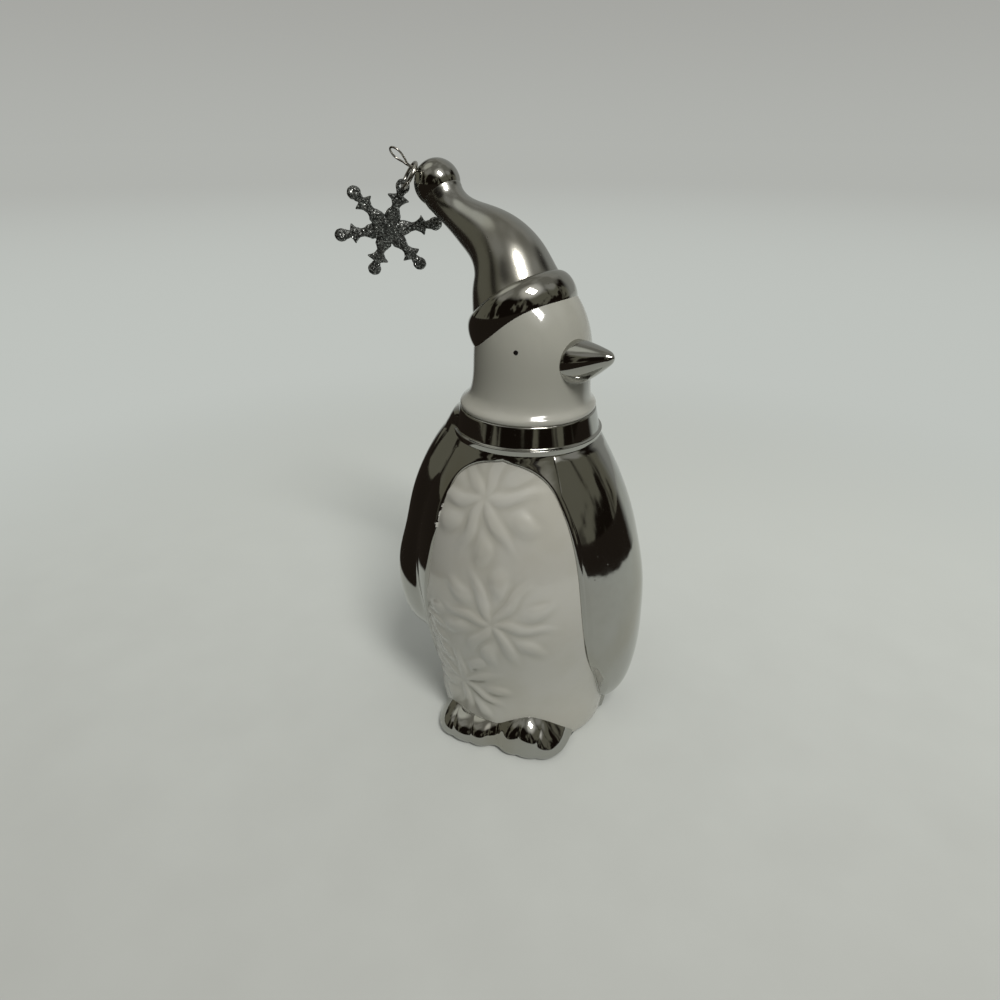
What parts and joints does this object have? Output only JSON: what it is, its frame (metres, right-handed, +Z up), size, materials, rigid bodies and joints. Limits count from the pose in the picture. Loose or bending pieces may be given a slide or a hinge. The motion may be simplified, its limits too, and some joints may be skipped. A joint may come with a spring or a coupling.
{
  "type": "penguin figurine",
  "caption": "Standing glazed ceramic penguin in a silver stocking cap and coat, head turned aside, with a metal snowflake charm hanging on a ring from the cap's bobble.",
  "frame": {"origin": "middle of the torso's flat base, at the surface it stands on", "axes": "+Z up, -Y the way the belly and feet face, +X the figure's own left"},
  "size_m": [0.0895, 0.0562, 0.1516],
  "materials": {
    "white_glaze": "glossy white glaze",
    "silver_glaze": "fired mirror silver over the glaze",
    "eye_glaze": "glossy black dot",
    "wire": "drawn wire, dull",
    "ring_metal": "darkened bright wire",
    "glitter_metal": "dark casting coated with glitter"
  },
  "bodies": {
    "figurine": {"body_shell": "white_glaze", "head_shell": "white_glaze", "collar": "silver_glaze", "coat": "silver_glaze", "left_flipper": "silver_glaze", "right_flipper": "silver_glaze", "left_foot": "silver_glaze", "right_foot": "silver_glaze", "beak": "silver_glaze", "cap_tail": "silver_glaze", "cap_cuff": "silver_glaze", "bobble": "silver_glaze", "left_eye": "eye_glaze", "right_eye": "eye_glaze", "wire_eye": "wire"},
    "ring": {"jump_ring": "ring_metal"},
    "charm": {"snowflake_charm": "glitter_metal"}
  },
  "joints": [
    {"name": "ring_swing", "type": "hinge", "parent": "figurine", "child": "ring", "pos_m": [-0.03289, 0.00809, 0.14765], "axis": [-0.7022, -0.4917, 0.515], "range_deg": [-200, 20]},
    {"name": "charm_swing", "type": "hinge", "parent": "ring", "child": "charm", "pos_m": [-0.03635, 0.00858, 0.1434], "axis": [0.3339, -0.8662, -0.3717], "range_deg": [-75, 10]}
  ]
}
